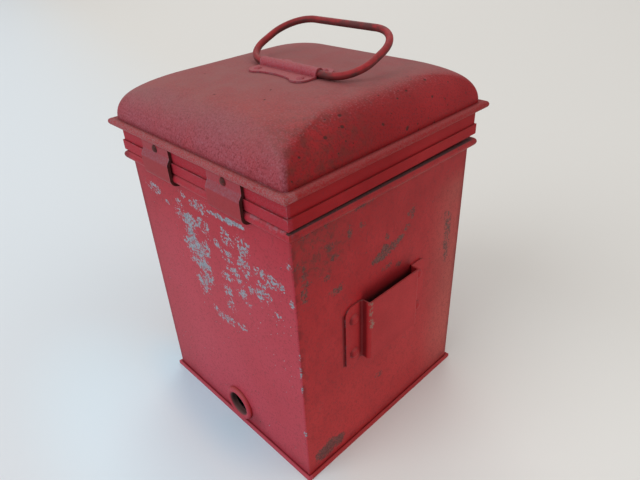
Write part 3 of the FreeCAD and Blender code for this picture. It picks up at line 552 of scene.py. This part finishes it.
def dome_dust_and_shade(p):
    """Dust on the roof, thinner towards the near corner and almost gone on the socket's side, which keeps
    that side dark as painted shade.
    """
    near = p.ramp(p.dot(p.place, (-1.0, 1.0, 0.0)), 0.02, 0.10, 0.78, 0.50)
    return p.times(near, p.facing(X, 0.0, -0.55, 1.0, 0.08))


def dome_pits(p):
    """Rust pits, thick on the socket's side of the roof and sparse elsewhere."""
    side = p.facing(X, -0.05, -0.45)
    skin = p.unrolled()
    near = p.most(p.dots(skin, 105, 0.30, 0.19), p.dots(skin, 230, 0.18, 0.20))
    return p.most(p.times(near, side), p.dots(skin, 70, 0.12, 0.08))


def skirt_tone(p, colour):
    """Dusty lip on the seam, fresh red under it at the rear, dark red on the socket's side with painted
    shade under the lip, and a painted shadow under the lip at the near corner.
    """
    height = lid_height(p)
    side = p.facing(X, -0.4, -0.8)
    rear = p.along(Y, 0.074, 0.076)
    lip = p.ramp(height, 0.2018, 0.2026)
    band = p.inverse(lip)
    patchy = p.ramp(p.noise(80, 4), 0.3, 0.65, 0.75, 1.0)
    powder = p.ramp(p.noise(1300, 3, 0.65), 0.34, 0.68)
    # Painted shade under the seam's lip on the socket's side
    colour = p.mix(p.times(band, side, patchy, 0.3), colour, red_shade_and_grime)
    colour = p.mix(p.times(band, rear, patchy, 0.7), colour, red_fresh)
    colour = p.mix(p.times(band, rear, powder, 0.3), colour, dust_and_sheen_purple)
    colour = p.mix(p.times(lip, p.inverse(rear), 0.6), colour, red_dark)
    colour = p.mix(p.times(lip, rear, 0.15), colour, stain_brown)
    colour = p.mix(p.times(lip, p.between(rear, 0.3, 0.75), powder), colour, dust_brown)
    colour = p.mix(p.times(lip, rear, powder, 0.35), colour, dust_lilac)
    # Painted shadow, near black, under the lip at the near corner
    corner = p.blob((-0.0775, 0.0775, 0.2010), (0.028, 0.028, 0.0020))
    return p.mix(p.times(corner, p.ramp(p.noise(300, 3), 0.35, 0.5), 0.9), colour, oxide_and_shade_dark)


def hinge_tone(p, colour):
    """Lilac dust and painted sheen on the ledge, thinner above it, and dark side edges as painted shade."""
    height = lid_height(p)
    ledge = p.times(p.ramp(height, 0.1900, 0.1915), p.ramp(height, 0.1965, 0.1945))
    bloom_and_sheen = p.most(p.times(ledge, 0.85), p.ramp(height, 0.190, 0.192, 0.1, 0.35))
    colour = p.mix(p.ramp(height, 0.1965, 0.1900, 0.35, 0.6), colour, red_dark)
    colour = p.mix(p.times(bloom_and_sheen, p.ramp(p.noise(1200, 3), 0.3, 0.7, 0.3, 1.0)), colour, dust_and_sheen_purple)
    # Painted shade on the side edges that face the socket's side
    edge = p.facing(X, -0.5, -0.9)
    return p.mix(p.times(edge, 0.92), colour, pit_and_shade_brown)


def rivet_tone(p, colour):
    return p.mix(p.ramp(p.noise(300, 3), 0.3, 0.6, 0.65, 0.92), colour, pit_and_shade_brown)


def handle_tone(p, colour):
    """Dark red wire, with painted shade below and worn black where it is gripped."""
    below = p.facing(Z, 0.55, 0.0)
    grip = p.times(p.along(X, 0.012, -0.006), p.along(X, -0.042, -0.030))
    patchy = p.ramp(p.noise(95, 5, 0.65), 0.42, 0.58)
    colour = p.mix(p.ramp(p.noise(220, 4), 0.35, 0.65, 0.2, 0.7), colour, red_dark)
    # Painted shade on the underside, patchy
    dark = p.times(below, p.between(patchy, 0.55, 0.85))
    worn = p.times(patchy, p.between(grip, 0.25, 0.8))
    return p.mix(p.most(dark, worn), colour, oxide_and_shade_dark)


def saddle_tone(p, colour):
    colour = p.mix(p.ramp(p.noise(60, 4), 0.35, 0.65, 0.0, 0.12), colour, red_dark)
    return p.mix(p.ramp(p.noise(1100, 3), 0.3, 0.7, 0.15, 0.5), colour, dust_lilac)


def socket_tone(p, colour):
    """Painted shade in the step beside the plate, and worn paint down the plate's near edge."""
    # Painted shade in the groove at the step
    step = p.most(p.facing(Y, 0.3, 0.8), p.along(Y, 0.0300, 0.0272))
    behind = p.along(X, -0.0800, -0.0790)
    near = p.along(Y, 0.0235, 0.0255)
    colour = p.mix(p.times(step, behind, near, 0.7), colour, red_shade_and_grime)
    margin = ragged(p, on_side(socket_wear, 1.4, 1.2, socket_face))
    return p.mix(p.times(p.ramp(margin, 0.0, 0.04), 0.7), colour, dust_olive)


def eyelet_tone(p, colour):
    """Painted shade inside the bore."""
    away = p.vector("SUBTRACT", p.place, eyelet_middle).outputs[0]
    flat = p.vector("MULTIPLY", away, (1, 0, 1)).outputs[0]
    bore = p.ramp(p.vector("LENGTH", flat).outputs["Value"], 0.0098, 0.0086)
    return p.mix(p.times(bore, 0.95), colour, soot_and_shade)


def base_tone(p, colour):
    """The same faded paint and painted sheen as the wall above it."""
    rear = p.along(Y, 0.0735, 0.0745)
    return p.mix(p.times(rear, 0.85), colour, red_bloom_and_sheen)


enamels = {
    "body_paint": dict(name="body_enamel", dust=0.15, bloom_and_sheen=0.9, wear=0.7, speckle=0.6,
                       bare=body_bare, inside=box_inside, tone=body_tone),
    "base_paint": dict(name="base_enamel", dust=0.2, bloom_and_sheen=0.7, wear=0.1, crevice_shade_and_grime=0.1,
                       inside=floor_inside, tone=base_tone),
    "lid_paint": dict(name="dome_enamel", dust=dome_dust_and_shade, speckle=0.7, gloss=0.12, wear=0.4,
                      pits=dome_pits, inside=lid_inside, tone=dome_tone),
    "skirt_paint": dict(name="skirt_enamel", dust=0.2, bloom_and_sheen=0.3, crevice_shade_and_grime=1.0, gloss=0.06, tone=skirt_tone),
    "hinge_paint": dict(name="hinge_enamel", dust=0.2, bloom_and_sheen=0.4, wear=0.35, tone=hinge_tone),
    "hinge_rivet_paint": dict(name="rivet_enamel", dust=0.1, wear=0.2, tone=rivet_tone),
    "handle_paint": dict(name="handle_enamel", dust=0.12, bloom_and_sheen=0.1, wear=0.6, tone=handle_tone),
    "saddle_paint": dict(name="saddle_enamel", bloom_and_sheen=0.5, wear=0.6, tone=saddle_tone),
    "socket_paint": dict(name="socket_enamel", dust=0.25, wear=0.6, crevice_shade_and_grime=1.0, tone=socket_tone),
    "eyelet_paint": dict(name="eyelet_enamel", bloom_and_sheen=0.8, wear=0.8, tone=eyelet_tone),
    "stage_paint": dict(name="stage_enamel", dust=0.35, wear=0.8),
}


# Metals, glass and porcelain

def iron(name, light=iron_grey, rough=0.5):
    """Dull iron with brown rust in its low places."""
    p = Paint(name)
    broad = p.noise(60, 4)
    small = p.noise(600, 4, 0.65)
    spread = p.math("ADD", p.times(broad, 0.6), p.times(small, 0.4))
    rust = p.most(p.ramp(spread, 0.5, 0.62), p.crevice(0.003))
    colour = p.mix(p.times(rust, 0.75), p.mix(small, light, iron_grey), rust_brown)
    metal = p.between(rust, 0.85, 0.15)
    return p.finish(colour, p.between(rust, rough - 0.1, 0.85), metal, small, 0.0003, 0.5)


def brass(name, stretch, polish):
    """Aged brass, rubbed brighter where it is handled."""
    p = Paint(name)
    stain = p.noise(55, 5, 0.6)
    streak = p.noise(500, 3, 0.6, stretch=stretch)
    aged = p.ramp(p.math("ADD", p.times(stain, 0.65), p.times(streak, 0.35)), 0.42, 0.62)
    aged = p.most(p.times(aged, 1 - polish), p.crevice(0.004))
    colour = p.mix(aged, brass_clean, brass_aged)
    rough = p.between(aged, p.between(streak, 0.2, 0.36), 0.62)
    return p.finish(colour, rough, p.between(aged, 1.0, 0.75), streak, 0.0002, 0.35)


def glass(name, tint, ior):
    """Clear glass with a trace of dust."""
    p = Paint(name)
    film = p.ramp(p.noise(240, 4, 0.65), 0.5, 0.75, 0.02, 0.14)
    return p.finish(tint, film, IOR=ior, Transmission_Weight=1.0)


def filament():
    p = Paint("tungsten_wire")
    coil = p.noise(1800, 2, stretch=(3, 1, 1))
    return p.finish(p.mix(coil, tungsten, iron_grey), p.between(coil, 0.35, 0.6), 0.9, coil, 0.0002, 0.6)


def porcelain():
    """Glazed porcelain with sooty corners and a few brown heat stains."""
    p = Paint("glazed_porcelain")
    stain = p.times(p.ramp(p.noise(40, 4), 0.55, 0.75), 0.5)
    colour = p.mix(stain, porcelain_white, heat_brown)
    colour = p.mix(p.times(p.crevice(0.004), 0.8), colour, soot_and_shade)
    return p.finish(colour, p.between(stain, 0.12, 0.35), 0.0, p.noise(90, 2), 0.0004, 0.2, Coat_Weight=0.5)


def silvered_mirror():
    """Spun reflector, bright with a tarnished edge and fingerprints."""
    p = Paint("silvered_mirror")
    haze = p.ramp(p.noise(45, 5, 0.6), 0.48, 0.68)
    ring = p.noise(900, 2, stretch=(1, 0.05, 1))
    colour = p.mix(p.times(haze, 0.5), mirror_silver, tarnish_brown)
    return p.finish(colour, p.between(haze, p.between(ring, 0.06, 0.12), 0.32), 1.0, ring, 0.0001, 0.15)


irons = {
    "iron_wire": dict(name="drawn_iron"),
    "catch_iron": dict(name="catch_iron", rough=0.45),
    "spring_steel": dict(name="spring_steel", light=steel_bright, rough=0.35),
    "inner_iron": dict(name="tinned_iron", light=tin_plate, rough=0.45),
}
brasses = {
    "brass": dict(name="aged_brass", stretch=(1, 1, 1), polish=0.35),
    "tube_brass": dict(name="rubbed_brass", stretch=(1, 0.06, 1), polish=0.6),
    "cap_brass": dict(name="cap_brass", stretch=(0.2, 0.2, 4), polish=0.5),
}
glasses = {
    "lens_glass": dict(name="lens_glass", tint=lens_tint, ior=1.52),
    "bulb_clear": dict(name="bulb_glass", tint=bulb_tint, ior=1.47),
}
others = {"filament": filament, "porcelain": porcelain, "silvered_mirror": silvered_mirror}


def materials():
    """Every material by the slot that wears it."""
    made = {}
    for kind, rows in ((enamel, enamels), (iron, irons), (brass, brasses), (glass, glasses)):
        for slot, settings in rows.items():
            made[slot] = kind(**settings)
    for slot, kind in others.items():
        made[slot] = kind()
    return made


def dress_nodes():
    made = materials()
    for row in frame["record"]["subparts"]:
        node = frame["nodes"][row["node"]]
        node.data.materials.clear()
        node.data.materials.append(made[row["material_slot"]])


# Stage, light and camera

def stage_floor():
    """Pale plain floor with painted light: cooler towards the window and warmer towards the room, a painted
    pool of window light, a painted shadow beside the box and a painted patch of room light.
    """
    half = 4.0
    mesh = bpy.data.meshes.new("floor")
    corners = [(-half, -half, 0), (half, -half, 0), (half, half, 0), (-half, half, 0)]
    mesh.from_pydata(corners, [], [(0, 1, 2, 3)])
    floor = bpy.data.objects.new("floor", mesh)
    bpy.context.scene.collection.objects.link(floor)
    p = Paint("pale_floor")
    weave = p.noise(900, 2)
    across = p.dot(p.place, (-0.28, -1.10, 0.0))
    # Painted light colour: cool on the window side, warm on the room side
    colour = p.mix(p.ramp(across, -0.20, 0.30), floor_cool, floor_warm)
    # Painted pool of cool window light near the box
    colour = p.mix(p.blob((0.0, 0.13, 0.0), (0.20, 0.08, 1.0), 0.9), colour, painted_window_light)
    # Painted shadow beside the box
    colour = p.mix(p.blob((0.0, 0.075, 0.0), (0.12, 0.034, 1.0), 0.9), colour, floor_shade)
    # Painted patch of warm room light
    colour = p.mix(p.blob((-0.16, 0.0, 0.0), (0.14, 0.26, 1.0), 0.8), colour, painted_room_light)
    mesh.materials.append(p.finish(colour, p.between(weave, 0.8, 0.95), 0.0, weave, 0.0002, 0.15))


def soft_light(name, place, target, size, power, colour):
    light = bpy.data.lights.new(name, "AREA")
    light.shape = "DISK"
    light.size = size
    light.energy = power
    light.color = colour
    lamp = bpy.data.objects.new(name, light)
    lamp.location = place
    lamp.rotation_euler = (Vector(target) - Vector(place)).to_track_quat("-Z", "Y").to_euler()
    bpy.context.scene.collection.objects.link(lamp)


def lights():
    middle = (0, 0, 0.1)
    soft_light("window", (0.6, 2.5, 2.2), middle, 2.4, 42, (0.87, 0.95, 1.0))
    soft_light("room", (-2.4, -0.8, 2.4), middle, 2.4, 14, (1.0, 0.94, 0.88))
    soft_light("far_room", (2.0, -2.0, 2.6), (1.4, -1.4, 0), 2.4, 22, (1.0, 0.99, 0.97))
    world = bpy.data.worlds.new("soft_room")
    world.use_nodes = True
    background = world.node_tree.nodes["Background"]
    background.inputs["Color"].default_value = (0.98, 0.99, 1.0, 1)
    background.inputs["Strength"].default_value = 0.62
    bpy.context.scene.world = world


def camera():
    yaw, pitch, roll = (math.radians(a) for a in (camera_yaw, camera_pitch, camera_roll))
    ahead = Vector((math.cos(pitch) * math.cos(yaw), math.cos(pitch) * math.sin(yaw), math.sin(pitch)))
    right = ahead.cross(Vector((0, 0, 1))).normalized()
    above = right.cross(ahead)
    level = math.cos(roll) * right + math.sin(roll) * above
    top = math.cos(roll) * above - math.sin(roll) * right
    turn = Matrix((level, top, -ahead)).transposed()
    data = bpy.data.cameras.new("camera")
    data.lens = camera_lens
    data.sensor_width = sensor_width
    view = bpy.data.objects.new("camera", data)
    view.matrix_world = Matrix.Translation(camera_place) @ turn.to_4x4()
    bpy.context.scene.collection.objects.link(view)
    bpy.context.scene.camera = view


dress_nodes()
stage_floor()
lights()
camera()
bpy.context.scene.view_settings.view_transform = "Standard"
